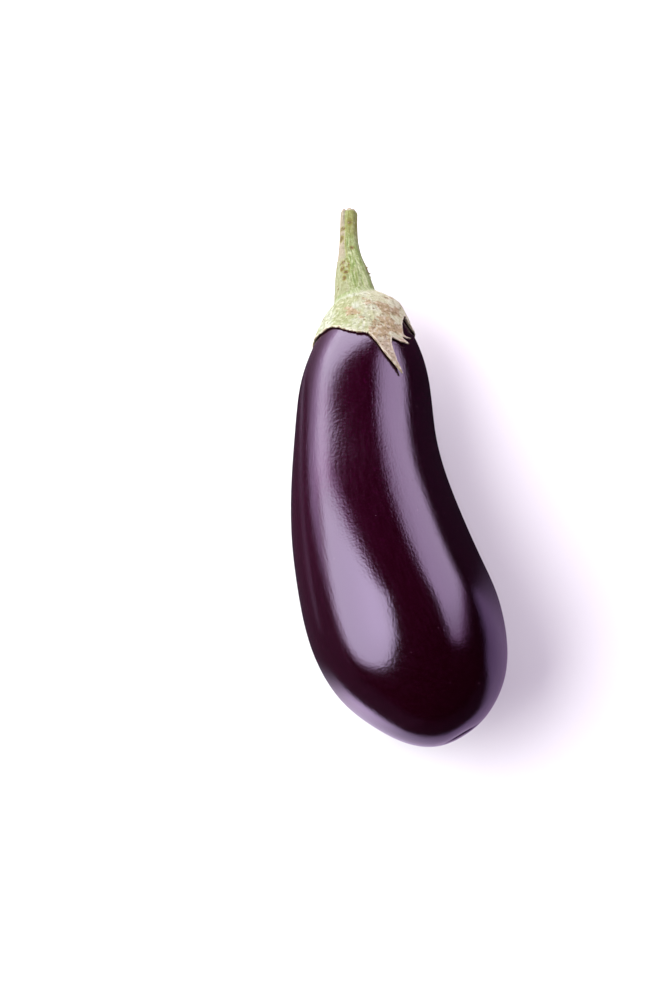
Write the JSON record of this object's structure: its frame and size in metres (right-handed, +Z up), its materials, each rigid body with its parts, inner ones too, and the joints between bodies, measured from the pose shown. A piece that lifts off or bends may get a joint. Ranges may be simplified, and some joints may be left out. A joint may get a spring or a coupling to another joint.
{
  "type": "eggplant",
  "caption": "Glossy dark purple eggplant lying on its side, with a bent pear-shaped body, a pointed green calyx and a cut stem.",
  "frame": {"origin": "middle of the bounding box's underside, on the surface that the eggplant lies on", "axes": "+Z up, +Y along the fruit towards the stem, -Y towards the blossom end, +X to the side that the blossom end bends to"},
  "size_m": [0.0868, 0.2394, 0.0767],
  "materials": {
    "skin": "smooth waxy skin, very dark purple, glossy",
    "calyx": "matt, pale green with tan corky patches and a pale edge",
    "stem": "matt, fibrous, green with a tan corky side and a dry cut end"
  },
  "bodies": {
    "root": {"fruit": "skin", "calyx": "calyx", "stem": "stem"}
  },
  "joints": []
}
